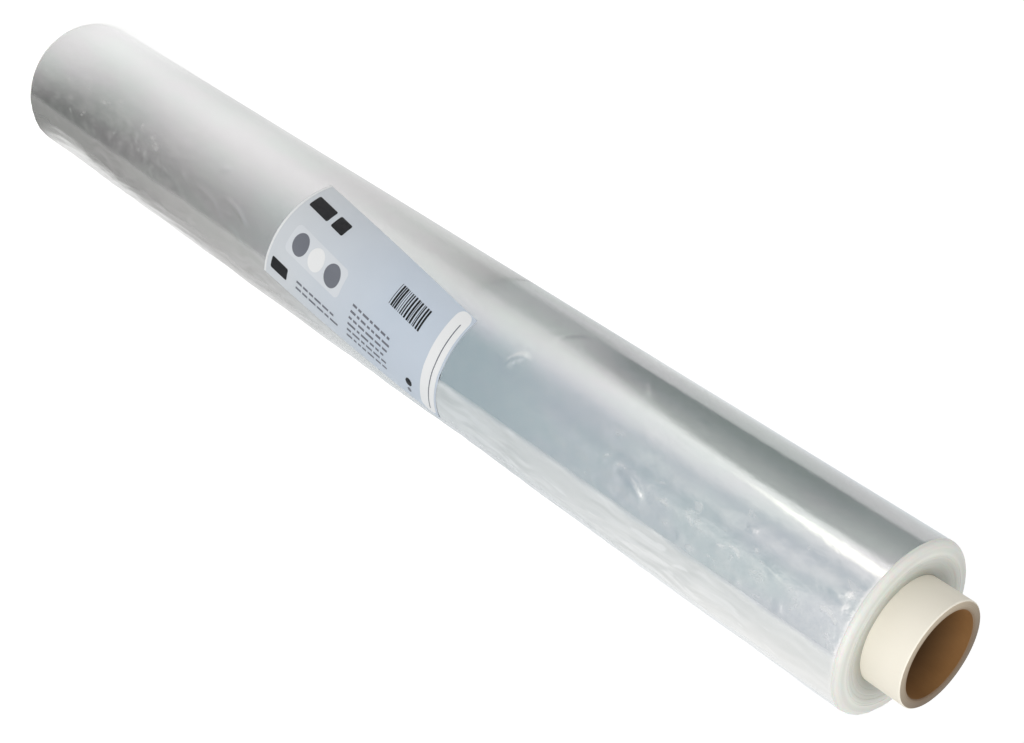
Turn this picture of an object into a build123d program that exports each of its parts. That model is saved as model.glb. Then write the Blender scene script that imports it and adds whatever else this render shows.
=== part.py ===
"""Roll of clear cling film wound on a paperboard core, with a paper label.

Millimetres. The roll stands on its flush end, with its axis along +Z and the
origin at the centre of that end. The bare stub of the core is at the top.
"""

import os
from math import cos, degrees, radians, tan

from build123d import *

# Film wind
film_width = 600.0
roll_diameter = 75.0
shoulder_radius = 3.0
rim_land = 2.2  # level ring between the shoulder and the dished face
end_dish = 1.2  # how far the wound end sinks towards the core
band_count = 5  # groups of turns that show as rings on a wound end
band_growth = 0.8  # width of a group against the one inside it
band_step = 0.3
outer_turns = 0.25  # depth of the outer turns, which stop short of the shoulders
tail_angle = -55.5  # degrees about the axis, from +X, of the film's free edge
tail_lift = 0.25  # step at that edge, which the last turn takes up as it goes round

# Paperboard core
core_bore = 38.0
core_wall = 4.0
core_stub = 16.6
core_edge_bevel = 0.4

# Label
label_length = 132.0  # along the roll
label_height = 57.5  # around the roll
label_skew = 8.0  # degrees off the roll's axis
label_thickness = 0.2
label_gap = 0.05
label_centre_height = 307.5
label_centre_angle = -74.0  # degrees about the axis, from +X

# Sizes that follow from the ones above
roll_radius = roll_diameter / 2
core_inner_radius = core_bore / 2
core_outer_radius = core_inner_radius + core_wall
core_length = film_width + core_stub
shoulder_reach = roll_radius - outer_turns

os.makedirs("parts", exist_ok=True)

# Core: a straight paperboard tube with its cut edges broken
with BuildPart() as core_tube:
    with BuildSketch():
        Circle(core_outer_radius)
        Circle(core_inner_radius, mode=Mode.SUBTRACT)
    extrude(amount=core_length)
    chamfer(core_tube.edges().filter_by(GeomType.CIRCLE), length=core_edge_bevel)


def band_radii(inner_radius, outer_radius):
    """Radii between the groups of turns on the wound end, closer towards the outside."""
    widths = [band_growth**index for index in range(band_count)]
    radii = [inner_radius]
    for width in widths:
        radii.append(radii[-1] + width * (outer_radius - inner_radius) / sum(widths))
    return radii


def end_corners(inner_radius, outer_radius):
    """Radius and depth of the dished end's corners, outwards: every other group of turns is sunk."""
    radii = band_radii(inner_radius, outer_radius)
    corners = []
    for index, band in enumerate(zip(radii, radii[1:])):
        sunk = band_step if index % 2 == 0 else 0
        for radius in band:
            dish = end_dish * (outer_radius - radius) / (outer_radius - inner_radius)
            corners.append((radius, dish + sunk))
    return corners


def on_last_turn(turned):
    """Point of the last turn's spiral, the given number of degrees on from its free edge."""
    lift = tail_lift * (1 - turned / 360)
    return Vector(roll_radius + lift, 0).rotate(Axis.Z, tail_angle + turned)


# Film: all the turns as one body. The last turn is a spiral with a step at its free edge,
# and each wound end has a rounded shoulder, a narrow level land and a dished face
# where groups of turns show as rings
with BuildPart() as film_wind:
    with BuildSketch(Plane.XY.offset(shoulder_radius)):
        with BuildLine():
            for turned in (0, 180):
                ThreePointArc([on_last_turn(turned + part) for part in (0, 90, 180)])
            Line(on_last_turn(360), on_last_turn(0))
        make_face()
        Circle(core_outer_radius, mode=Mode.SUBTRACT)
    extrude(amount=film_width - 2 * shoulder_radius)

    land_end = shoulder_reach - shoulder_radius
    land_start = land_end - rim_land
    for level, inward in ((0, 1), (film_width, -1)):
        shoulder_level = level + inward * shoulder_radius
        dish = [
            (radius, level + inward * depth)
            for radius, depth in end_corners(core_outer_radius, land_start)
        ]
        with BuildSketch(Plane.XZ):
            with BuildLine():
                Polyline((shoulder_reach, shoulder_level), (core_outer_radius, shoulder_level), *dish,
                         (land_start, level), (land_end, level))
                TangentArc((land_end, level), (shoulder_reach, shoulder_level), tangent=(1, 0))
            make_face()
        revolve(axis=Axis.Z)

# Label: a sheet that follows the wind's surface, set askew on it. Its long edges
# are helices and its short edges lie in planes square to them
with BuildPart() as label:
    label_inner_radius = roll_radius + tail_lift + label_gap
    skew_slope = tan(radians(label_skew))
    arc_angle = degrees(label_height / cos(radians(label_skew)) / label_inner_radius)
    blank_length = label_length + 2 * label_height * skew_slope
    blank_base = label_centre_height - blank_length / 2
    twist_angle = degrees(blank_length * skew_slope / label_inner_radius)
    with BuildSketch(Plane.XY.offset(blank_base)):
        Circle(label_inner_radius + label_thickness)
        Circle(label_inner_radius, mode=Mode.SUBTRACT)
    extrude(amount=blank_length)

    start_angle = label_centre_angle - (arc_angle + twist_angle) / 2
    with BuildSketch(Plane.XY.offset(blank_base), mode=Mode.PRIVATE) as sector:
        with BuildLine():
            near_arc = CenterArc((0, 0), core_outer_radius, start_angle, arc_angle)
            far_arc = CenterArc((0, 0), roll_diameter, start_angle, arc_angle)
            Line(near_arc @ 0, far_arc @ 0)
            Line(near_arc @ 1, far_arc @ 1)
        make_face()
    twisted_sector = Solid.extrude_linear_with_rotation(
        sector.sketch.face(), (0, 0, blank_base), (0, 0, blank_length), twist_angle)
    add(twisted_sector, mode=Mode.INTERSECT)

    outward = Vector(1, 0, 0).rotate(Axis.Z, label_centre_angle)
    along = Vector(0, 0, 1).rotate(Axis((0, 0, 0), outward), -label_skew)
    centre = Vector(0, 0, label_centre_height)
    split(bisect_by=Plane(centre + along * (label_length / 2), z_dir=along), keep=Keep.BOTTOM)
    split(bisect_by=Plane(centre - along * (label_length / 2), z_dir=along), keep=Keep.TOP)

core_tube.part.label = "core_tube"
film_wind.part.label = "film_wind"
label.part.label = "label"

export_step(core_tube.part, "parts/core_tube.step")
export_step(film_wind.part, "parts/film_wind.step")
export_step(label.part, "parts/label.step")
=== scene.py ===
"""Looks of a roll of clear cling film on a paperboard core, standing on its flush end.

Metres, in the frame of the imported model: +Z runs along the roll's axis towards the bare
stub of the core, and -Y is the side that carries the label. Angles about the axis are in
degrees from +X.
"""

import math
import random

import bpy
from mathutils import Matrix, Vector, noise


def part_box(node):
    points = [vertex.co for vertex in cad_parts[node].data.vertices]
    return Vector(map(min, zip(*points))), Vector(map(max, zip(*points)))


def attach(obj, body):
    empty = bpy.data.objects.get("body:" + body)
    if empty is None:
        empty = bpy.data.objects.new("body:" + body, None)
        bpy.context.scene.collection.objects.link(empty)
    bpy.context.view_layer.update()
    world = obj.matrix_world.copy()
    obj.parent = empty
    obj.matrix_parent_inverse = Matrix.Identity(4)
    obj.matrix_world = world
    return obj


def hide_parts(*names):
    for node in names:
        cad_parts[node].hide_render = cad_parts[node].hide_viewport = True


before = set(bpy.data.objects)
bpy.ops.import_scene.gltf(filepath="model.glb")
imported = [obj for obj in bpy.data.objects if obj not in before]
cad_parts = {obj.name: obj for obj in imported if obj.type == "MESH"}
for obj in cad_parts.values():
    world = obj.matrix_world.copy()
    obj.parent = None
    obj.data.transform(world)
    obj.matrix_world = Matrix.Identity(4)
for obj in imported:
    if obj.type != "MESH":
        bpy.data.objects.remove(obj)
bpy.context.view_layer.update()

# Film
film_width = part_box("film_wind")[1].z
roll_radius = 0.0375
shoulder_radius = 0.003
rim_land = 0.0022  # level ring between the shoulder and the dished face
end_dish = 0.0012
band_count = 5  # groups of turns that show as rings on a wound end
band_growth = 0.8
band_step = 0.0001
tail_angle = -55.5  # the film's free edge
tail_lift = 0.00025
loose_full = 70.0  # degrees on from the free edge where the last turn is loose all over
loose_end = 170.0  # degrees on from the free edge where it is tight again

# Heights of the film's relief, first where it is tight and then where it is loose
swell_height = 0.00005
ripple_height = 0.000012
dimple_height = 0.00012
pucker_height = 0.00006
wave_height = 0.0003
sag_height = 0.0006
fold_height = 0.00025
crumple_height = 0.00008

# Creases pressed into the film: angle, height, length and heading off the axis in degrees
crease_width = 0.0013
crease_height = 0.0002
crease_bow = 0.12  # how far a crease bows, against its length
creases = [
    (-71.0, 0.491, 0.012, 26),
    (-77.3, 0.559, 0.006, 4), (-75.6, 0.562, 0.005, -30), (-60.3, 0.569, 0.007, 65),
    (-89.6, 0.590, 0.006, -12), (-86.5, 0.587, 0.006, 25), (-83.0, 0.591, 0.005, -35),
    (-62.3, 0.518, 0.005, 43), (-58.7, 0.548, 0.005, -13), (-90.1, 0.545, 0.005, 0),
    (-131.5, 0.416, 0.017, -60), (-99.0, 0.409, 0.008, -48), (-130.4, 0.467, 0.011, 40),
    (-128.4, 0.498, 0.008, 43),
    (-62.5, 0.088, 0.007, 50), (-74.9, 0.111, 0.007, 98), (-82.3, 0.100, 0.005, 7),
    (-66.0, 0.123, 0.009, 70), (-71.5, 0.160, 0.010, 35), (-95.0, 0.186, 0.008, -40),
    (-66.0, 0.146, 0.045, 8), (-61.5, 0.170, 0.050, -4), (-70.0, 0.184, 0.035, 12),
    (-58.5, 0.202, 0.050, 5), (-74.0, 0.208, 0.028, 14),
    (38.0, 0.210, 0.022, 15), (95.0, 0.430, 0.016, -35), (150.0, 0.300, 0.014, 25),
    (170.0, 0.520, 0.018, -20),
]

# Two creases that stand up more sharply
sharp_height = 0.00042
sharp_creases = [(-72.2, 0.489, 0.020, 20), (-96.5, 0.406, 0.014, -56)]

# Core
core_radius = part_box("core_tube")[1].x
core_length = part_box("core_tube")[1].z
core_wall = 0.004
core_edge = 0.0004
seam_lead = 0.105  # length of core that its spiral seam takes for one turn

# Label
label_length = 0.132
label_height = 0.0575
label_skew = 8.0  # degrees off the roll's axis
label_thickness = 0.0002
label_gap = 0.00005
label_centre_height = 0.3075
label_centre_angle = -74.0
label_radius = roll_radius + tail_lift + label_gap
label_rest = 0.000045  # rise of the film below the label's upper edge
climb_start = 9.0  # degrees before the film's free edge where the label starts to climb over it
climb_end = 1.0
print_lift = 0.00004
line_pitch = 0.0033  # between lines of small print
stroke_height = 0.0012
stroke_gap = 0.0012

# Camera
camera_place = Vector((0.0011, -0.6115, 0.8634))
camera_target = Vector((0.0011, 0.0, 0.3792))
camera_roll = 123.84
camera_lens = 61.42
camera_sensor = 36.0

sharp_angle = 40.0  # degrees between two faces from which their edge is shaded as sharp


def polar(radius, angle, height):
    """Point at a radius and an angle about the roll's axis."""
    turn = math.radians(angle)
    return Vector((radius * math.cos(turn), radius * math.sin(turn), height))


def smooth(low, high, value):
    """Smooth step from 0 at low to 1 at high."""
    share = min(max((value - low) / (high - low), 0.0), 1.0)
    return share * share * (3 - 2 * share)


def mesh_piece(name, points, faces, materials, face_slots):
    """Smooth-shaded mesh object with sharp edges where its faces turn quickly."""
    mesh = bpy.data.meshes.new(name)
    mesh.from_pydata(points, [], faces)
    for material in materials:
        mesh.materials.append(material)
    mesh.polygons.foreach_set("material_index", face_slots)
    mesh.shade_smooth()
    mesh.set_sharp_from_angle(angle=math.radians(sharp_angle))
    mesh.update()
    piece = bpy.data.objects.new(name, mesh)
    bpy.context.scene.collection.objects.link(piece)
    return piece


def point_values(mesh, name, values):
    """Stores one number a point, for a material to read."""
    layer = mesh.attributes.new(name, "FLOAT", "POINT")
    layer.data.foreach_set("value", values)


def ring_faces(row_count, column_count):
    """Quads of a grid whose rows and columns both close on themselves."""
    faces = []
    for row in range(row_count):
        here = row * column_count
        after = (row + 1) % row_count * column_count
        for column in range(column_count):
            beside = (column + 1) % column_count
            faces.append((here + column, here + beside, after + beside, after + column))
    return faces


# Materials


def rgb(red, green, blue):
    return (red, green, blue, 1.0)


class Shader:
    """A material with one principled surface, and short ways to add nodes to it."""

    def __init__(self, name, **sockets):
        self.material = bpy.data.materials.new(name)
        self.material.use_nodes = True
        self.tree = self.material.node_tree
        self.surface = self.tree.nodes["Principled BSDF"]
        self.fill(self.surface, **sockets)

    def fill(self, node, **sockets):
        """Sets or links sockets by name, with underscores for spaces."""
        for key, value in sockets.items():
            self.put(value, node.inputs[key.replace("_", " ")])

    def put(self, value, socket):
        if isinstance(value, bpy.types.NodeSocket):
            self.tree.links.new(value, socket)
        else:
            socket.default_value = value

    def node(self, kind, settings=(), **sockets):
        made = self.tree.nodes.new(kind)
        for key, value in dict(settings).items():
            setattr(made, key, value)
        self.fill(made, **sockets)
        return made

    def stretch(self, vector, *scale):
        return self.node("ShaderNodeMapping", Vector=vector, Scale=scale).outputs["Vector"]

    def place(self, *scale):
        """Place on the object, scaled along each axis."""
        return self.stretch(self.node("ShaderNodeTexCoord").outputs["Object"], *scale)

    def wander(self, place, scale, reach):
        """Place moved about by soft noise, so that lines drawn along it bend."""
        stray = self.node("ShaderNodeTexNoise", Vector=place, Scale=scale, Detail=1.0).outputs["Color"]
        made = self.node("ShaderNodeVectorMath", {"operation": "MULTIPLY_ADD"})
        for socket, value in zip(made.inputs, (stray, (reach, reach, reach), place)):
            self.put(value, socket)
        return made.outputs["Vector"]

    def radius(self):
        """Distance from the roll's axis."""
        flat = self.place(1, 1, 0)
        return self.node("ShaderNodeVectorMath", {"operation": "LENGTH"}, Vector=flat).outputs["Value"]

    def part(self, axis):
        """Place on the object along one axis."""
        return self.node("ShaderNodeSeparateXYZ", Vector=self.place(1, 1, 1)).outputs[axis]

    def attribute(self, name):
        return self.node("ShaderNodeAttribute", {"attribute_name": name}).outputs["Fac"]

    def noise(self, place, scale, detail=2.0):
        return self.node("ShaderNodeTexNoise", Vector=place, Scale=scale, Detail=detail).outputs["Fac"]

    def line_noise(self, value, scale, detail=2.0):
        """Noise along one number, such as a radius."""
        settings = {"noise_dimensions": "1D"}
        return self.node("ShaderNodeTexNoise", settings, W=value, Scale=scale, Detail=detail).outputs["Fac"]

    def math(self, operation, first, second=0.0):
        made = self.node("ShaderNodeMath", {"operation": operation})
        self.put(first, made.inputs[0])
        self.put(second, made.inputs[1])
        return made.outputs["Value"]

    def spread(self, value, low, high, start, stop):
        """Takes low to high over to start to stop."""
        return self.node(
            "ShaderNodeMapRange", Value=value, From_Min=low, From_Max=high, To_Min=start, To_Max=stop,
        ).outputs["Result"]

    def between(self, share, first, second):
        """Number between two numbers."""
        return self.node("ShaderNodeMix", Factor=share, A=first, B=second).outputs["Result"]

    def blend(self, share, first, second):
        """Colour between two colours."""
        made = self.node("ShaderNodeMix", {"data_type": "RGBA"})
        self.put(share, made.inputs["Factor"])
        self.put(first, made.inputs[6])
        self.put(second, made.inputs[7])
        return made.outputs[2]

    def bump(self, height, strength, distance, under=None):
        """Normal of a relief, on top of an earlier one if there is one."""
        made = self.node("ShaderNodeBump", Height=height, Strength=strength, Distance=distance)
        if under:
            self.put(under, made.inputs["Normal"])
        return made.outputs["Normal"]


def film_side_material():
    """Wound film: silvery where it is tight and whitish where it is loose or crinkled, with painted shade
    and highlights along the loose film's folds.
    """
    shader = Shader("film_side", Coat_Weight=1.0, Coat_Roughness=0.03, Coat_IOR=1.5)
    loose = shader.attribute("loose")
    crinkled = shader.attribute("crinkled")
    cloud = shader.noise(shader.place(1, 1, 0.4), 28.0, 3.0)
    bent = shader.wander(shader.place(1, 1, 1), 42.0, 0.012)
    streak = shader.noise(shader.stretch(bent, 1, 1, 0.09), 300.0, 2.0)
    mottle = shader.noise(shader.place(1, 1, 0.55), 210.0, 3.0)
    fleck = shader.spread(shader.noise(shader.stretch(bent, 1, 1, 0.5), 230.0, 3.0), 0.60, 0.70, 0.0, 0.55)
    haze = shader.spread(mottle, 0.45, 0.75, 0.0, 0.4)
    crinkles = shader.math("MULTIPLY", shader.math("MAXIMUM", fleck, haze), crinkled)
    milky = shader.math("MAXIMUM", loose, crinkles)
    patches = shader.spread(shader.noise(shader.place(1, 1, 0.5), 34.0, 1.0), 0.38, 0.56, 0.0, 0.9)
    calm = shader.math("MAXIMUM", patches, shader.spread(shader.part("Z"), 0.52, 0.56, 0.0, 0.75))
    # Painted shade in the hollows of the loose film's folds and painted highlights on their crests and on
    # thin fold lines, put into its colour
    fold_highlights = shader.spread(shader.noise(shader.stretch(bent, 1, 1, 0.22), 190.0, 2.0), 0.60, 0.66, 0.0, 1.0)
    fold_shading = shader.between(calm, shader.spread(streak, 0.36, 0.64, 0.0, 1.0), 0.55)
    fold_shading = shader.math("MAXIMUM", fold_shading, fold_highlights)
    tint = shader.spread(shader.noise(shader.place(1, 1, 0.4), 46.0, 2.0), 0.40, 0.60, 0.0, 1.0)
    tight_grey = shader.blend(cloud, rgb(0.655, 0.648, 0.655), rgb(0.742, 0.73, 0.732))
    tight_green = shader.blend(cloud, rgb(0.637, 0.663, 0.648), rgb(0.718, 0.743, 0.722))
    tight_colour = shader.blend(tint, tight_grey, tight_green)
    # The darker colour is the painted fold shade and the lighter one the painted fold highlight
    loose_colour = shader.blend(fold_shading, rgb(0.695, 0.695, 0.667), rgb(0.905, 0.895, 0.872))
    loose_depth = shader.spread(loose, 0.0, 1.0, 0.05, 0.55)
    calm_share = shader.spread(calm, 0.0, 1.0, 1.0, 0.25)
    grooves = shader.bump(streak, shader.math("MULTIPLY", loose_depth, calm_share), 0.0005)
    tight_roughness = shader.spread(cloud, 0.3, 0.7, 0.07, 0.13)
    loose_roughness = shader.math("MULTIPLY", loose, 0.12)
    shader.fill(
        shader.surface,
        Base_Color=shader.blend(milky, tight_colour, loose_colour),
        Metallic=shader.spread(milky, 0.0, 1.0, 0.86, 0.42),
        Roughness=shader.math("ADD", tight_roughness, loose_roughness),
        Normal=shader.bump(mottle, shader.spread(crinkled, 0.0, 1.0, 0.05, 0.7), 0.0003, grooves),
    )
    return shader.material


def film_end_material():
    """Cut edges of the turns: milky, with fine rings, and darker by the core, partly as painted shade of the
    corner at the core and partly as film that is greyer there.
    """
    shader = Shader(
        "film_end", Roughness=0.4, Subsurface_Weight=0.35, Subsurface_Scale=0.003,
        Coat_Weight=0.3, Coat_Roughness=0.25,
    )
    radius = shader.radius()
    turns = shader.line_noise(radius, 2600.0, 3.0)
    groups = shader.line_noise(radius, 420.0, 1.0)
    rings = shader.spread(shader.math("MULTIPLY", turns, groups), 0.1, 0.4, 0.0, 1.0)
    milky = shader.blend(rings, rgb(0.70, 0.715, 0.665), rgb(0.78, 0.79, 0.74))
    # Darker towards the core: partly painted shade of the corner between the end and the core, partly film
    # that is greyer there
    core_shade = shader.spread(radius, core_radius + 0.001, core_radius + 0.0095, 1.0, 0.0)
    colour = shader.blend(core_shade, milky, rgb(0.36, 0.365, 0.32))
    shader.fill(shader.surface, Base_Color=colour, Normal=shader.bump(turns, 0.08, 0.0002))
    return shader.material


def seam_share(shader, lead, width):
    """1 along the spiral seam of a paper ply and 0 elsewhere."""
    parts = shader.node("ShaderNodeSeparateXYZ", Vector=shader.place(1, 1, 1))
    turn = shader.math("ARCTAN2", parts.outputs["Y"], parts.outputs["X"])
    travel = shader.math("DIVIDE", parts.outputs["Z"], lead)
    spiral = shader.math("FRACT", shader.math("ADD", shader.math("DIVIDE", turn, 2 * math.pi), travel))
    return shader.math("LESS_THAN", spiral, width)


def core_outside_material():
    """Cream outer ply."""
    shader = Shader("core_outside", Roughness=0.62)
    fibre = shader.noise(shader.place(1, 1, 0.5), 900.0, 4.0)
    cloud = shader.noise(shader.place(1, 1, 1), 60.0, 2.0)
    paper = shader.blend(cloud, rgb(0.93, 0.875, 0.755), rgb(0.96, 0.91, 0.795))
    seam = seam_share(shader, seam_lead, 0.004)
    colour = shader.blend(shader.math("MULTIPLY", seam, 0.5), paper, rgb(0.45, 0.38, 0.28))
    shader.fill(shader.surface, Base_Color=colour, Normal=shader.bump(fibre, 0.25, 0.0002))
    return shader.material


def core_rim_material():
    """Cut end of the board: plies in rings of grey and tan, with painted shade that darkens the rim towards
    +Y.
    """
    shader = Shader("core_rim", Roughness=0.9)
    plies = shader.line_noise(shader.radius(), 1900.0, 2.0)
    fibre = shader.noise(shader.place(1, 1, 1), 1500.0, 3.0)
    rings = shader.spread(plies, 0.35, 0.65, 0.0, 1.0)
    board = shader.blend(rings, rgb(0.46, 0.38, 0.28), rgb(0.62, 0.53, 0.40))
    worn = shader.blend(shader.math("MULTIPLY", fibre, 0.35), board, rgb(0.70, 0.62, 0.50))
    # Painted shade: the rim's board is darkened towards +Y, as if that side were turned from the light
    side = shader.math("ADD", shader.math("MULTIPLY", shader.part("X"), 0.25), shader.part("Y"))
    rim_shade_share = shader.spread(side, -core_radius, 0.6 * core_radius, 0.0, 1.0)
    side_shaded_board = shader.blend(rim_shade_share, worn, rgb(0.22, 0.17, 0.125))
    bore_radius = core_radius - core_wall
    wall_middle = core_radius - 0.5 * core_wall
    by_bore = shader.spread(shader.radius(), bore_radius, wall_middle, 0.6, 0.0)
    colour = shader.blend(by_bore, side_shaded_board, rgb(0.20, 0.12, 0.06))
    shader.fill(shader.surface, Base_Color=colour, Normal=shader.bump(fibre, 0.5, 0.0004))
    return shader.material


def core_inside_material():
    """Brown inner ply, with painted shade that darkens it further into the bore."""
    shader = Shader("core_inside", Roughness=0.78)
    fibre = shader.noise(shader.place(1, 1, 0.25), 500.0, 4.0)
    cloud = shader.noise(shader.place(1, 1, 0.6), 70.0, 3.0)
    kraft = shader.blend(cloud, rgb(0.215, 0.097, 0.024), rgb(0.335, 0.168, 0.054))
    seam = seam_share(shader, -seam_lead, 0.006)
    seamed = shader.blend(shader.math("MULTIPLY", seam, 0.55), kraft, rgb(0.06, 0.03, 0.015))
    # Painted shade of the bore's depth: the ply darkens from 3 mm to 22 mm below the mouth
    bore_shade = shader.spread(shader.part("Z"), core_length - 0.003, core_length - 0.022, 0.0, 0.92)
    colour = shader.blend(bore_shade, seamed, rgb(0.035, 0.018, 0.006))
    shader.fill(shader.surface, Base_Color=colour, Normal=shader.bump(fibre, 0.35, 0.0003))
    return shader.material


def paper_shader(name, gloss):
    """Printed paper with a fine grain."""
    shader = Shader(
        name, Roughness=0.42, Specular_IOR_Level=0.1 + 0.8 * gloss, Coat_Weight=gloss, Coat_Roughness=0.08,
    )
    grain = shader.noise(shader.place(1, 1, 1), 2200.0, 2.0)
    shader.fill(shader.surface, Normal=shader.bump(grain, 0.06, 0.0002))
    return shader


def ink_material(name, gloss, low, high):
    """Ink between two shades of one colour."""
    shader = paper_shader(name, gloss)
    cloud = shader.noise(shader.place(1, 1, 1), 45.0, 2.0)
    shader.fill(shader.surface, Base_Color=shader.blend(cloud, rgb(*low), rgb(*high)))
    return shader.material


def label_field_material():
    """Pale print that turns from grey to blue along the sheet."""
    shader = paper_shader("label_field", 0.3)
    cloud = shader.noise(shader.place(1, 1, 1), 45.0, 2.0)
    grey = shader.blend(cloud, rgb(0.63, 0.665, 0.70), rgb(0.68, 0.71, 0.74))
    blue = shader.blend(cloud, rgb(0.555, 0.62, 0.705), rgb(0.605, 0.67, 0.75))
    grey_until = label_centre_height - 0.055
    blue_from = label_centre_height + 0.02
    along = shader.spread(shader.part("Z"), grey_until, blue_from, 0.0, 1.0)
    shader.fill(shader.surface, Base_Color=shader.blend(along, grey, blue))
    return shader.material


# Film

front_columns = 150
back_columns = 64
side_rows = 372
shoulder_rows = 10
front_start = -185.0  # angles between which the columns lie closer together
front_stop = 5.0


def column_turns():
    """Degrees on from the free edge of the mesh columns, closer together on the label's side."""
    fine = (front_stop - front_start) / front_columns
    coarse = (360 - front_stop + front_start) / back_columns
    turns = [0.0]
    while turns[-1] < 360:
        angle = tail_angle + turns[-1]
        turns.append(turns[-1] + (coarse if front_stop <= angle < front_start + 360 else fine))
    return [360 * turn / turns[-1] for turn in turns]


def end_profile():
    """Radius and depth below the end's level, from the core to the start of the side."""
    land_end = roll_radius - shoulder_radius
    land_start = land_end - rim_land
    widths = [band_growth**index for index in range(band_count)]
    radii = [core_radius]
    for width in widths:
        radii.append(radii[-1] + width * (land_start - core_radius) / sum(widths))
    profile = []
    for index, (inner, outer) in enumerate(zip(radii, radii[1:])):
        sunk = band_step if index % 2 == 0 else 0.0
        for share in (0.03, 0.15, 0.5, 0.85, 0.97):
            radius = inner + (outer - inner) * share
            dish = end_dish * (land_start - radius) / (land_start - core_radius)
            rounding = 0.5 * band_step * abs(2 * share - 1) ** 3
            profile.append((radius, dish + sunk + rounding))
    profile.append((land_start, 0.0))
    for step in range(shoulder_rows):
        turn = math.pi / 2 * step / shoulder_rows
        profile.append((land_end + shoulder_radius * math.sin(turn), shoulder_radius * (1 - math.cos(turn))))
    return profile


def looseness(turned):
    """1 where the last turn is loose and 0 where it is tight."""
    return smooth(loose_end, loose_full, turned)


def held_down(angle, height):
    """1 under the label and 0 well clear of it."""
    margin = 0.008
    skew = math.radians(label_skew)
    around = math.radians((angle - label_centre_angle + 180) % 360 - 180) * label_radius
    rise = height - label_centre_height
    along = abs(around * math.sin(skew) + rise * math.cos(skew)) - label_length / 2
    across = abs(around * math.cos(skew) - rise * math.sin(skew)) - label_height / 2
    return smooth(margin, 0.0, max(along, across))


def crease_share(crease, angle, height):
    """1 on the crest of a crease and 0 away from it."""
    crease_angle, crease_level, length, heading = crease
    rise = height - crease_level
    if abs(rise) > length:
        return 0.0
    around = math.radians((angle - crease_angle + 180) % 360 - 180) * roll_radius
    if abs(around) > length:
        return 0.0
    turn = math.radians(heading)
    along = around * math.sin(turn) + rise * math.cos(turn)
    across = around * math.cos(turn) - rise * math.sin(turn)
    bend = across - crease_bow * length * (2 * along / length) ** 2
    taper = smooth(0.5 * length, 0.2 * length, abs(along))
    return taper * math.exp(-((bend / crease_width) ** 2))


def crease_ridges(angle, height):
    """Rise of the creases at a place."""
    total = crease_height * sum(crease_share(crease, angle, height) for crease in creases)
    return total + sharp_height * sum(crease_share(crease, angle, height) for crease in sharp_creases)


def crinkling(turned, height):
    """Share of crinkles in the tight film: most by the free edge, near either end."""
    near_tail = smooth(290.0, 340.0, turned)
    near_end = smooth(0.38, 0.52, height) + 0.8 * smooth(0.21, 0.12, height)
    return (0.15 + 0.85 * near_tail) * (0.15 + 0.85 * near_end)


def film_lift(turned):
    """Rise of the last turn over the one below: its free edge clings to it."""
    cling = 0.15 + 0.85 * smooth(0.0, 5.0, turned)
    return tail_lift * (1 - turned / 360) * cling


def film_standoff(turned, angle, height):
    """How far the film stands off the wound cylinder."""
    around = math.radians(turned) * roll_radius
    swell = noise.noise(Vector((around * 35, height * 12, 1.0)))
    wave = noise.noise(Vector((around * 60, height * 26, 4.0)))
    sag = noise.noise(Vector((around * 22, height * 17, 6.0)))
    fold = 1 - 2 * abs(noise.noise(Vector((around * 165 + height * 40, height * 34, 9.0))))
    crumple = noise.noise(Vector((around * 240, height * 120 + around * 60, 13.0)))
    patch = smooth(-0.1, 0.4, noise.noise(Vector((around * 40, height * 26, 21.0))))
    dimple = noise.noise(Vector((around * 170 + height * 60, height * 150, 17.0)))
    pucker = 1 - 2 * abs(noise.noise(Vector((around * 130 - height * 40, height * 90, 25.0))))
    tight = swell_height * swell + ripple_height * wave
    by_edge = smooth(360.0, 354.0, turned)
    crinkles = dimple_height * dimple + pucker_height * pucker
    tight += by_edge * patch * crinkling(turned, height) * crinkles
    slack = looseness(turned) * smooth(0.0, 22.0, turned)
    loose = wave_height * wave + sag_height * sag + fold_height * fold + crumple_height * crumple
    free = 1 - held_down(angle, height)
    return film_lift(turned) + free * (tight + slack * loose + crease_ridges(angle, height))


def whiteness(turned, height):
    """Share of the loose film's white look, which comes in raggedly behind the free edge."""
    ragged = 3.5 + 3.0 * noise.noise(Vector((height * 70, 2.0, 31.0)))
    behind = 0.35 + 0.65 * smooth(0.0, ragged, turned)
    return looseness(turned) * behind * (0.6 + 0.4 * smooth(0.15, 0.45, height))


def edge_wander(turned, height):
    """Degrees that the free edge strays from a straight line."""
    stray = 0.9 * noise.noise(Vector((height * 9, 3.0, 0.0)))
    stray += 0.5 * noise.noise(Vector((height * 34, 8.0, 0.0)))
    return stray * (smooth(50.0, 0.0, turned) + smooth(330.0, 360.0, turned))


def build_film():
    ends = end_profile()
    side = [
        (roll_radius, shoulder_radius + (film_width - 2 * shoulder_radius) * row / side_rows)
        for row in range(side_rows + 1)
    ]
    profile = ends + side + [(radius, film_width - depth) for radius, depth in reversed(ends)]
    turns = column_turns()
    points = []
    loose = []
    crinkled = []
    for radius, height in profile:
        reach = smooth(roll_radius - shoulder_radius, roll_radius, radius)
        for turned in turns:
            angle = tail_angle + turned + edge_wander(turned, height)
            points.append(polar(radius + reach * film_standoff(turned, angle, height), angle, height))
            loose.append(whiteness(turned, height))
            crinkled.append(crinkling(turned, height))
    first_side_row = len(ends) - 1
    last_side_row = len(ends) + side_rows
    slots = []
    for row in range(len(profile)):
        on_side = first_side_row <= row <= last_side_row
        slots += [0 if on_side else 1] * len(turns)
    film = mesh_piece(
        "film", points, ring_faces(len(profile), len(turns)),
        [film_side_material(), film_end_material()], slots,
    )
    point_values(film.data, "loose", loose)
    point_values(film.data, "crinkled", crinkled)
    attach(film, "root")
    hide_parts("film_wind")


build_film()


# Core


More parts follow.
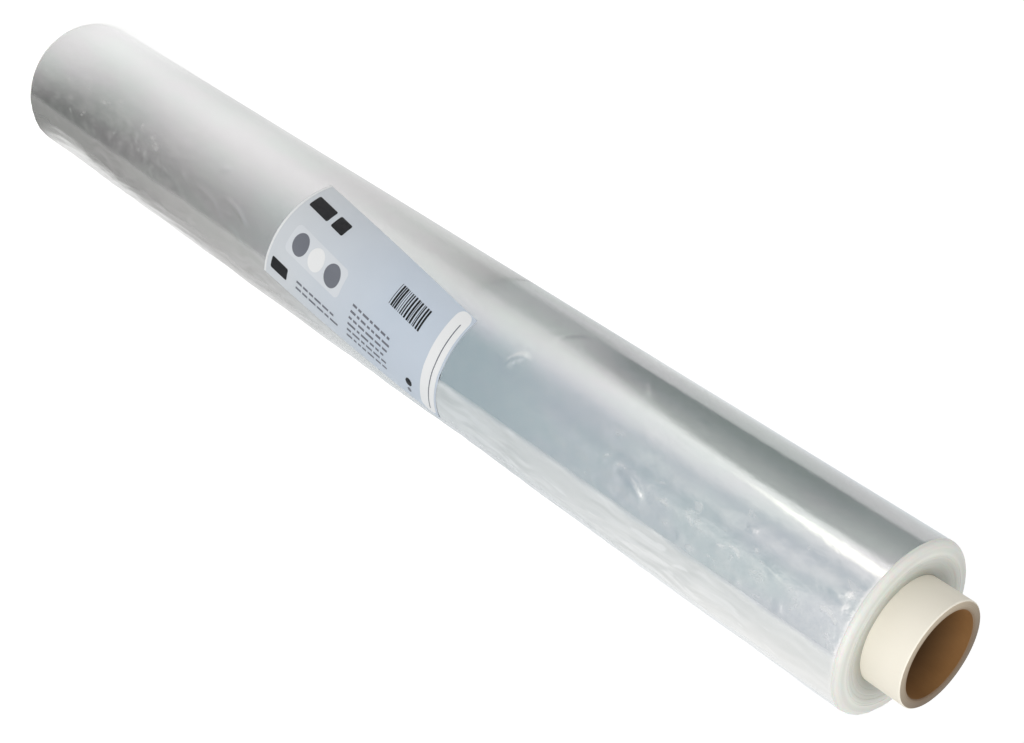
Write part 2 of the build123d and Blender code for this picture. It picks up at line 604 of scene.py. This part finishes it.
def build_core():
    inner_radius = core_radius - core_wall
    outside, rim, inside = range(3)
    profile = [
        (core_radius - core_edge, 0.0, outside),
        (core_radius, core_edge, outside),
        (core_radius, core_length - core_edge, outside),
        (core_radius - core_edge, core_length, rim),
        (inner_radius + core_edge, core_length, rim),
        (inner_radius, core_length - core_edge, inside),
        (inner_radius, core_edge, rim),
        (inner_radius + core_edge, 0.0, rim),
    ]
    columns = 180
    points = []
    slots = []
    for radius, height, kind in profile:
        points += [polar(radius, 360 * column / columns, height) for column in range(columns)]
        slots += [kind] * columns
    core = mesh_piece(
        "core", points, ring_faces(len(profile), columns),
        [core_outside_material(), core_rim_material(), core_inside_material()], slots,
    )
    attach(core, "root")
    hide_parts("core_tube")


build_core()


# Label


def label_base(angle):
    """Radius of the label's back, which dips over the step at the film's free edge."""
    climb = smooth(tail_angle - climb_start, tail_angle - climb_end, angle)
    return roll_radius + label_gap + label_rest + tail_lift * climb


def on_label(along, across, lift=0.0):
    """Point over the label's face, from its centre: along the roll, across it, and above it."""
    skew = math.radians(label_skew)
    around = along * math.sin(skew) + across * math.cos(skew)
    height = label_centre_height + along * math.cos(skew) - across * math.sin(skew)
    angle = label_centre_angle + math.degrees(around / label_radius)
    return polar(label_base(angle) + label_thickness + lift, angle, height)


def build_label():
    long_steps = 66
    cross_steps = 58
    row = cross_steps + 1
    back = (long_steps + 1) * row
    points = []
    for lift in (0.0, -label_thickness):
        for i in range(long_steps + 1):
            for j in range(row):
                along = label_length * (i / long_steps - 0.5)
                across = label_height * (j / cross_steps - 0.5)
                points.append(on_label(along, across, lift))
    faces = []
    for i in range(long_steps):
        for j in range(cross_steps):
            corner = i * row + j
            faces.append((corner, corner + row, corner + row + 1, corner + 1))
            faces.append((back + corner, back + corner + 1, back + corner + row + 1, back + corner + row))
    rim = [i * row for i in range(long_steps)]
    rim += [long_steps * row + j for j in range(cross_steps)]
    rim += [i * row + cross_steps for i in range(long_steps, 0, -1)]
    rim += list(range(cross_steps, 0, -1))
    for here, after in zip(rim, rim[1:] + rim[:1]):
        faces.append((here, back + here, back + after, after))
    label = mesh_piece("label_sheet", points, faces, [label_field_material()], [0] * len(faces))
    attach(label, "root")
    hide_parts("label")


build_label()


class Print:
    """Flat inked shapes on the label, gathered into one mesh. Each is a stack of rows along the roll."""

    row_step = 0.001
    point_step = 0.006
    corner_steps = 6

    def __init__(self):
        self.points = []
        self.faces = []
        self.slots = []

    def shape(self, along, across, rows, ink, layer):
        """Shape round a centre. Each row is how far across it lies and half its length."""
        start = len(self.points)
        longest = max(half for up, half in rows)
        steps = max(1, math.ceil(2 * longest / self.point_step))
        for up, half in rows:
            for step in range(steps + 1):
                over = half * (2 * step / steps - 1)
                self.points.append(on_label(along + over, across + up, layer * print_lift))
        width = steps + 1
        for row in range(len(rows) - 1):
            for step in range(steps):
                corner = start + row * width + step
                self.faces.append((corner, corner + 1, corner + width + 1, corner + width))
                self.slots.append(ink)

    def block(self, along, across, length, height, ink, corner=0.0, layer=1):
        """Rectangle whose corners are rounded to the given radius."""
        straight = height / 2 - corner
        row_total = max(1, math.ceil(2 * straight / self.row_step))
        rows = [(straight * (2 * row / row_total - 1), length / 2) for row in range(row_total + 1)]
        if corner:
            bend = []
            for step in range(1, self.corner_steps + 1):
                turn = math.pi / 2 * step / self.corner_steps
                half = max(length / 2 - corner * (1 - math.cos(turn)), 0.00001)
                bend.append((straight + corner * math.sin(turn), half))
            rows = [(-up, half) for up, half in reversed(bend)] + rows + bend
        self.shape(along, across, rows, ink, layer)

    def disc(self, along, across, radius, ink, layer=1):
        rows = []
        for step in range(4 * self.corner_steps + 1):
            turn = math.pi * (step / (4 * self.corner_steps) - 0.5)
            rows.append((radius * math.sin(turn), max(radius * math.cos(turn), 0.00001)))
        self.shape(along, across, rows, ink, layer)


dark, slate, pale, white = range(4)


def small_print(ink, draw, lines, start, stop, across, shortest, longest):
    """Lines of short strokes, from start to about stop along the label."""
    for line in range(lines):
        along = start
        while along < stop:
            length = draw.uniform(shortest, longest)
            ink.block(along + length / 2, across + line_pitch * line, length, stroke_height, slate)
            along += length + stroke_gap


def build_print():
    ink = Print()
    draw = random.Random(7)
    # White ends of the sheet, the near one with a fine rule
    ink.block(-0.0651, 0.0, 0.0012, 0.0573, white)
    ink.block(0.0600, -0.0005, 0.0098, 0.0560, white, 0.004)
    ink.block(0.0612, 0.0010, 0.0006, 0.0470, slate, layer=2)
    # Dark tabs at the far end
    ink.block(-0.0525, -0.0170, 0.0175, 0.0070, dark, 0.001)
    ink.block(-0.0350, -0.0170, 0.0105, 0.0070, dark, 0.001)
    ink.block(-0.0545, 0.0205, 0.0135, 0.0062, dark, 0.001)
    # Grey rounds on a pale ground
    ink.block(-0.0330, 0.0030, 0.0460, 0.0150, pale, 0.003)
    for step, shade in enumerate((slate, white, slate)):
        ink.disc(-0.0470 + 0.0140 * step, 0.0030, 0.0058, shade, layer=2)
    small_print(ink, draw, 6, start=0.0010, stop=0.0290, across=0.0060, shortest=0.0018, longest=0.0062)
    small_print(ink, draw, 2, start=-0.0400, stop=-0.0120, across=0.0190, shortest=0.0020, longest=0.0060)
    # Block of upright bars
    along = 0.0200
    while along < 0.0440:
        width = draw.choice((0.0004, 0.0004, 0.0008, 0.0012))
        ink.block(along + width / 2, -0.0125, width, 0.0110, dark)
        along += width + draw.choice((0.0004, 0.0006, 0.0009))
    ink.disc(0.0470, 0.0185, 0.0022, dark)
    ink.disc(0.0470, 0.0235, 0.0013, slate)
    inks = [
        ink_material("ink_dark", 0.05, (0.012, 0.012, 0.014), (0.022, 0.022, 0.024)),
        ink_material("ink_slate", 0.1, (0.15, 0.16, 0.19), (0.21, 0.22, 0.25)),
        ink_material("ink_pale", 0.3, (0.69, 0.72, 0.76), (0.74, 0.77, 0.80)),
        ink_material("ink_white", 0.3, (0.84, 0.85, 0.85), (0.90, 0.90, 0.90)),
    ]
    sheet = mesh_piece("label_print", ink.points, ink.faces, inks, ink.slots)
    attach(sheet, "root")


build_print()


# Stage


def stage_material(name, surface):
    """Material with bare nodes: surface(nodes, links) returns the output to show."""
    material = bpy.data.materials.new(name)
    material.use_nodes = True
    nodes = material.node_tree.nodes
    links = material.node_tree.links
    nodes.clear()
    out = nodes.new("ShaderNodeOutputMaterial")
    links.new(surface(nodes, links), out.inputs["Surface"])
    return material


def stage_object(name, points, faces, material):
    mesh = bpy.data.meshes.new(name)
    mesh.from_pydata(points, [], faces)
    mesh.materials.append(material)
    made = bpy.data.objects.new(name, mesh)
    bpy.context.scene.collection.objects.link(made)
    return made


floor_half = 6.0
floor_glow = 0.55
floor_colour = rgb(0.85, 0.85, 0.85)


def shown_share(nodes, links):
    """1 for what the camera sees, straight or in reflections, and 0 for what lights other things."""
    path = nodes.new("ShaderNodeLightPath")
    share = path.outputs["Is Camera Ray"]
    for name in ("Is Glossy Ray", "Is Transmission Ray"):
        either = nodes.new("ShaderNodeMath")
        either.operation = "MAXIMUM"
        links.new(share, either.inputs[0])
        links.new(path.outputs[name], either.inputs[1])
        share = either.outputs[0]
    return share


def floor_surface(nodes, links):
    """Pale diffuse floor that also glows to the camera and in reflections, so that it shows as white."""
    strength = nodes.new("ShaderNodeMath")
    strength.operation = "MULTIPLY"
    strength.inputs[1].default_value = floor_glow
    links.new(shown_share(nodes, links), strength.inputs[0])
    glow = nodes.new("ShaderNodeEmission")
    links.new(strength.outputs[0], glow.inputs["Strength"])
    diffuse = nodes.new("ShaderNodeBsdfDiffuse")
    diffuse.inputs["Color"].default_value = floor_colour
    total = nodes.new("ShaderNodeAddShader")
    links.new(diffuse.outputs[0], total.inputs[0])
    links.new(glow.outputs[0], total.inputs[1])
    return total.outputs[0]


floor_corners = [(floor_half * x, floor_half * y, 0) for x, y in ((-1, -1), (1, -1), (1, 1), (-1, 1))]
stage_object("floor", floor_corners, [(0, 1, 2, 3)], stage_material("floor", floor_surface))


def bearing(angle, distance, height=0.0):
    """Point on the stage: angle from -Y towards +X, distance from the roll's axis."""
    turn = math.radians(angle)
    return Vector((distance * math.sin(turn), -distance * math.cos(turn), height))


def card(name, rows, colour, strength):
    """Studio card that shows only in reflections. Each row is points with their cover from 0 to 1."""
    def surface(nodes, links):
        cover = nodes.new("ShaderNodeAttribute")
        cover.attribute_name = "cover"
        glow = nodes.new("ShaderNodeEmission")
        glow.inputs["Color"].default_value = rgb(*colour)
        glow.inputs["Strength"].default_value = strength
        mix = nodes.new("ShaderNodeMixShader")
        links.new(cover.outputs["Fac"], mix.inputs["Fac"])
        links.new(nodes.new("ShaderNodeBsdfTransparent").outputs[0], mix.inputs[1])
        links.new(glow.outputs[0], mix.inputs[2])
        return mix.outputs[0]

    width = len(rows[0])
    faces = []
    for row in range(len(rows) - 1):
        for column in range(width - 1):
            corner = row * width + column
            faces.append((corner, corner + 1, corner + width + 1, corner + width))
    points = [point for row in rows for point, cover in row]
    made = stage_object(name, points, faces, stage_material(name, surface))
    point_values(made.data, "cover", [cover for row in rows for point, cover in row])
    made.visible_camera = False
    made.visible_diffuse = False
    made.visible_shadow = False
    made.visible_transmission = False


# Cards on the floor: looks, and how far they reach from the roll
card_step = 4  # degrees between the points of a ring
card_lift = 0.001  # between a card and the one below it
card_reach = 1.7
ring_count = 33
card_rings = [card_reach * (ring / ring_count) ** 2 for ring in range(ring_count + 1)]
grey_colour = (1.0, 1.0, 0.95)
grey_level = 0.04
blue_colour = (0.10, 0.62, 1.0)
blue_level = 0.26


def at_back(angle):
    """Fades a card out where its two sides meet behind the roll."""
    return smooth(180, 164, abs(angle))


def near_cover(angle, distance):
    """Cover of the grey card on the floor round the roll's foot."""
    near_edge = 62 + 23 * smooth(0.0, 0.06, distance)
    far_edge = 106 + 99 * smooth(0.015, 0.165, distance)
    behind = smooth(-50, -140, angle) * (0.12 + 0.14 * smooth(0.02, 0.10, distance))
    behind += 0.15 * smooth(-60, -90, angle) * smooth(0.12, 0.30, distance)
    facing = 0.9 * smooth(-80, 50, angle) * smooth(far_edge, near_edge, angle)
    facing += 0.26 * smooth(75, 115, angle) * smooth(0.11, 0.06, distance)
    at_foot = 1 - 0.5 * smooth(45, -30, angle) * smooth(0.06, 0.0, distance)
    depth = 0.74 + 0.17 * smooth(0.16, 0.0, distance)
    outline = 0.22 * smooth(140, 176, abs(angle))
    total = 0.1 + outline + (behind + facing) * at_back(angle)
    return depth * total * at_foot * smooth(0.45, 0.15, distance)


def far_cover(angle, distance):
    """Cover of the bluish card on the floor further out."""
    beyond = smooth(0.8, 1.1, distance)
    far_edge = 150 + 60 * smooth(1.1, 0.5, distance)
    side = smooth(-66 + 8 * beyond, 4 - 16 * beyond, angle) * smooth(far_edge, 70, angle) * at_back(angle)
    stripes = 0.08 * math.cos(math.radians(angle - 16) * 360 / 32) * smooth(42, 30, abs(angle))
    depth = 0.36 + 0.72 * math.exp(-distance / 0.6) + stripes * smooth(0.5, 0.9, distance)
    outline = smooth(120, 170, abs(angle)) * (0.12 + 0.12 * smooth(0.5, 1.0, distance))
    total = side * depth + outline
    return total * smooth(0.15, 0.45, distance) * smooth(card_reach, 1.3, distance)


def floor_card(name, cover, rings, level, colour, strength):
    """Card on the floor, with a row of points at each of the given distances from the roll."""
    rows = []
    for distance in rings:
        rows.append([
            (bearing(angle, roll_radius + distance, level), cover(angle, distance))
            for angle in range(-180, 181, card_step)
        ])
    card(name, rows, colour, strength)


# Dark flag: how dense it is by bearing, low down and high up
flag_low = [
    (-176, 0.0), (-164, 0.25), (-144, 0.38), (-124, 0.41), (-108, 0.62),
    (-92, 0.60), (-84, 0.57), (-76, 0.53), (-60, 0.49), (-42, 0.43),
]
flag_high = [
    (-176, 0.0), (-144, 0.28), (-128, 0.40), (-109, 0.48), (-104, 0.83),
    (-92, 0.80), (-84, 0.76), (-60, 0.62), (-42, 0.58),
]
flag_start = -176
flag_stop = -42
flag_step = 2
flag_rows = 22
flag_distance = 0.45
flag_top = 0.55
flag_colour = (0.45, 0.95, 1.0)
flag_level = 0.08


def on_profile(profile, angle):
    """Value of a line through corners at an angle."""
    value = 0.0
    for (low, first), (high, second) in zip(profile, profile[1:]):
        if low <= angle <= high:
            value = first + (second - first) * (angle - low) / (high - low)
    return value


def flag_cover(angle, height):
    """Cover of the dark flag, which has a soft edge low down and a sharper one high up."""
    raised = smooth(0.10, 0.155, height)
    cover = on_profile(flag_low, angle) * (1 - raised) + on_profile(flag_high, angle) * raised
    edge = -47.5 + 5.5 * smooth(0.30, 0.10, height)
    softness = 8 + 30 * smooth(0.30, 0.10, height)
    fades = (1 - 0.12 * smooth(0.33, 0.40, height)) * smooth(flag_top, flag_top - 0.08, height)
    return cover * smooth(edge, edge - softness, angle) * fades


def build_dark_flag():
    rows = []
    for step in range(flag_rows + 1):
        height = flag_top * step / flag_rows
        rows.append([
            (bearing(angle, flag_distance, height), flag_cover(angle, height))
            for angle in range(flag_start, flag_stop + 1, flag_step)
        ])
    card("dark_flag", rows, flag_colour, flag_level)


# Dark card on the floor that carries the flag on towards the roll, by bearing
flag_foot = [
    (-180, 0.36), (-144, 0.42), (-124, 0.46), (-108, 0.62), (-92, 0.57), (-76, 0.46),
    (-60, 0.33), (-40, 0.1), (-28, 0.0), (110, 0.0), (144, 0.12), (160, 0.22), (180, 0.36),
]
foot_start = 0.12
foot_reach = flag_distance - roll_radius
foot_end = 0.75
foot_seam = 0.0005  # between the rings on the two sides of the flag
near_rings = 12
far_rings = 8
foot_rings = [foot_start + (foot_reach - foot_start) * ring / near_rings for ring in range(near_rings + 1)]
foot_rings += [
    foot_reach + foot_seam + (foot_end - foot_reach) * ring / far_rings for ring in range(far_rings + 1)
]


def foot_cover(angle, distance):
    """Cover of the flag's foot, which grows up to the flag and fades out behind it."""
    full = max(on_profile(flag_foot, angle), flag_cover(angle, 0.0))
    if distance <= foot_reach:
        return full * max((distance - foot_start) / (foot_reach - foot_start), 0.0) ** 1.6
    return max(full - flag_cover(angle, 0.0), 0.0) * smooth(foot_end, foot_reach, distance)


strip_edge = -45.5
strip_width = 16.0
strip_distance = 0.52
strip_top = 0.6
strip_rows = 30
strip_columns = 12
strip_colour = (1.0, 1.0, 0.94)
strip_level = 1.75


def build_strip():
    """Bright strip that fades out and narrows towards its lower end."""
    rows = []
    for step in range(strip_rows + 1):
        height = strip_top * step / strip_rows
        width = strip_width * (0.35 + 0.65 * smooth(0.24, 0.36, height))
        row = []
        for column in range(strip_columns + 1):
            share = column / strip_columns
            cover = smooth(0.0, 0.15, share) * smooth(1.0, 0.55, share) * smooth(0.23, 0.30, height)
            row.append((bearing(strip_edge + width * share, strip_distance, height), cover))
        rows.append(row)
    card("strip", rows, strip_colour, strip_level)


floor_card("near_card", near_cover, card_rings, card_lift, grey_colour, grey_level)
floor_card("far_card", far_cover, card_rings, 2 * card_lift, blue_colour, blue_level)
floor_card("flag_foot", foot_cover, foot_rings, 3 * card_lift, grey_colour, grey_level)
build_dark_flag()
build_strip()


def area_light(name, place, target, size, power):
    """Square white lamp that faces a point."""
    data = bpy.data.lights.new(name, "AREA")
    data.size = size
    data.energy = power
    lamp = bpy.data.objects.new(name, data)
    lamp.location = place
    lamp.rotation_mode = "QUATERNION"
    lamp.rotation_quaternion = (Vector(target) - Vector(place)).to_track_quat("-Z", "Y")
    lamp.visible_camera = False
    bpy.context.scene.collection.objects.link(lamp)


area_light("key", place=(-1.1, -1.4, 1.6), target=(0, 0, 0.3), size=0.9, power=7.0)
area_light("fill", place=(1.2, -1.2, 1.6), target=(0, 0, 0.4), size=1.8, power=23.5)
area_light("top", place=(0.0, 0.0, 2.6), target=(0, 0, 0), size=2.5, power=8.0)

world_light = 0.40
world_shown = 0.89


def build_world():
    """Even white light that shows as white behind the roll and in reflections."""
    world = bpy.data.worlds.new("studio")
    world.use_nodes = True
    nodes = world.node_tree.nodes
    links = world.node_tree.links
    strength = nodes.new("ShaderNodeMapRange")
    strength.inputs["To Min"].default_value = world_light
    strength.inputs["To Max"].default_value = world_shown
    links.new(shown_share(nodes, links), strength.inputs["Value"])
    background = nodes["Background"]
    background.inputs["Color"].default_value = rgb(1, 1, 1)
    links.new(strength.outputs["Result"], background.inputs["Strength"])
    bpy.context.scene.world = world


build_world()


def build_camera():
    data = bpy.data.cameras.new("camera")
    data.lens = camera_lens
    data.sensor_fit = "HORIZONTAL"
    data.sensor_width = camera_sensor
    camera = bpy.data.objects.new("camera", data)
    toward = (camera_target - camera_place).to_track_quat("-Z", "Y").to_matrix().to_4x4()
    roll = Matrix.Rotation(math.radians(camera_roll), 4, "Z")
    camera.matrix_world = Matrix.Translation(camera_place) @ toward @ roll
    bpy.context.scene.collection.objects.link(camera)
    bpy.context.scene.camera = camera


build_camera()
bpy.context.scene.view_settings.view_transform = "Standard"

bpy.context.view_layer.update()
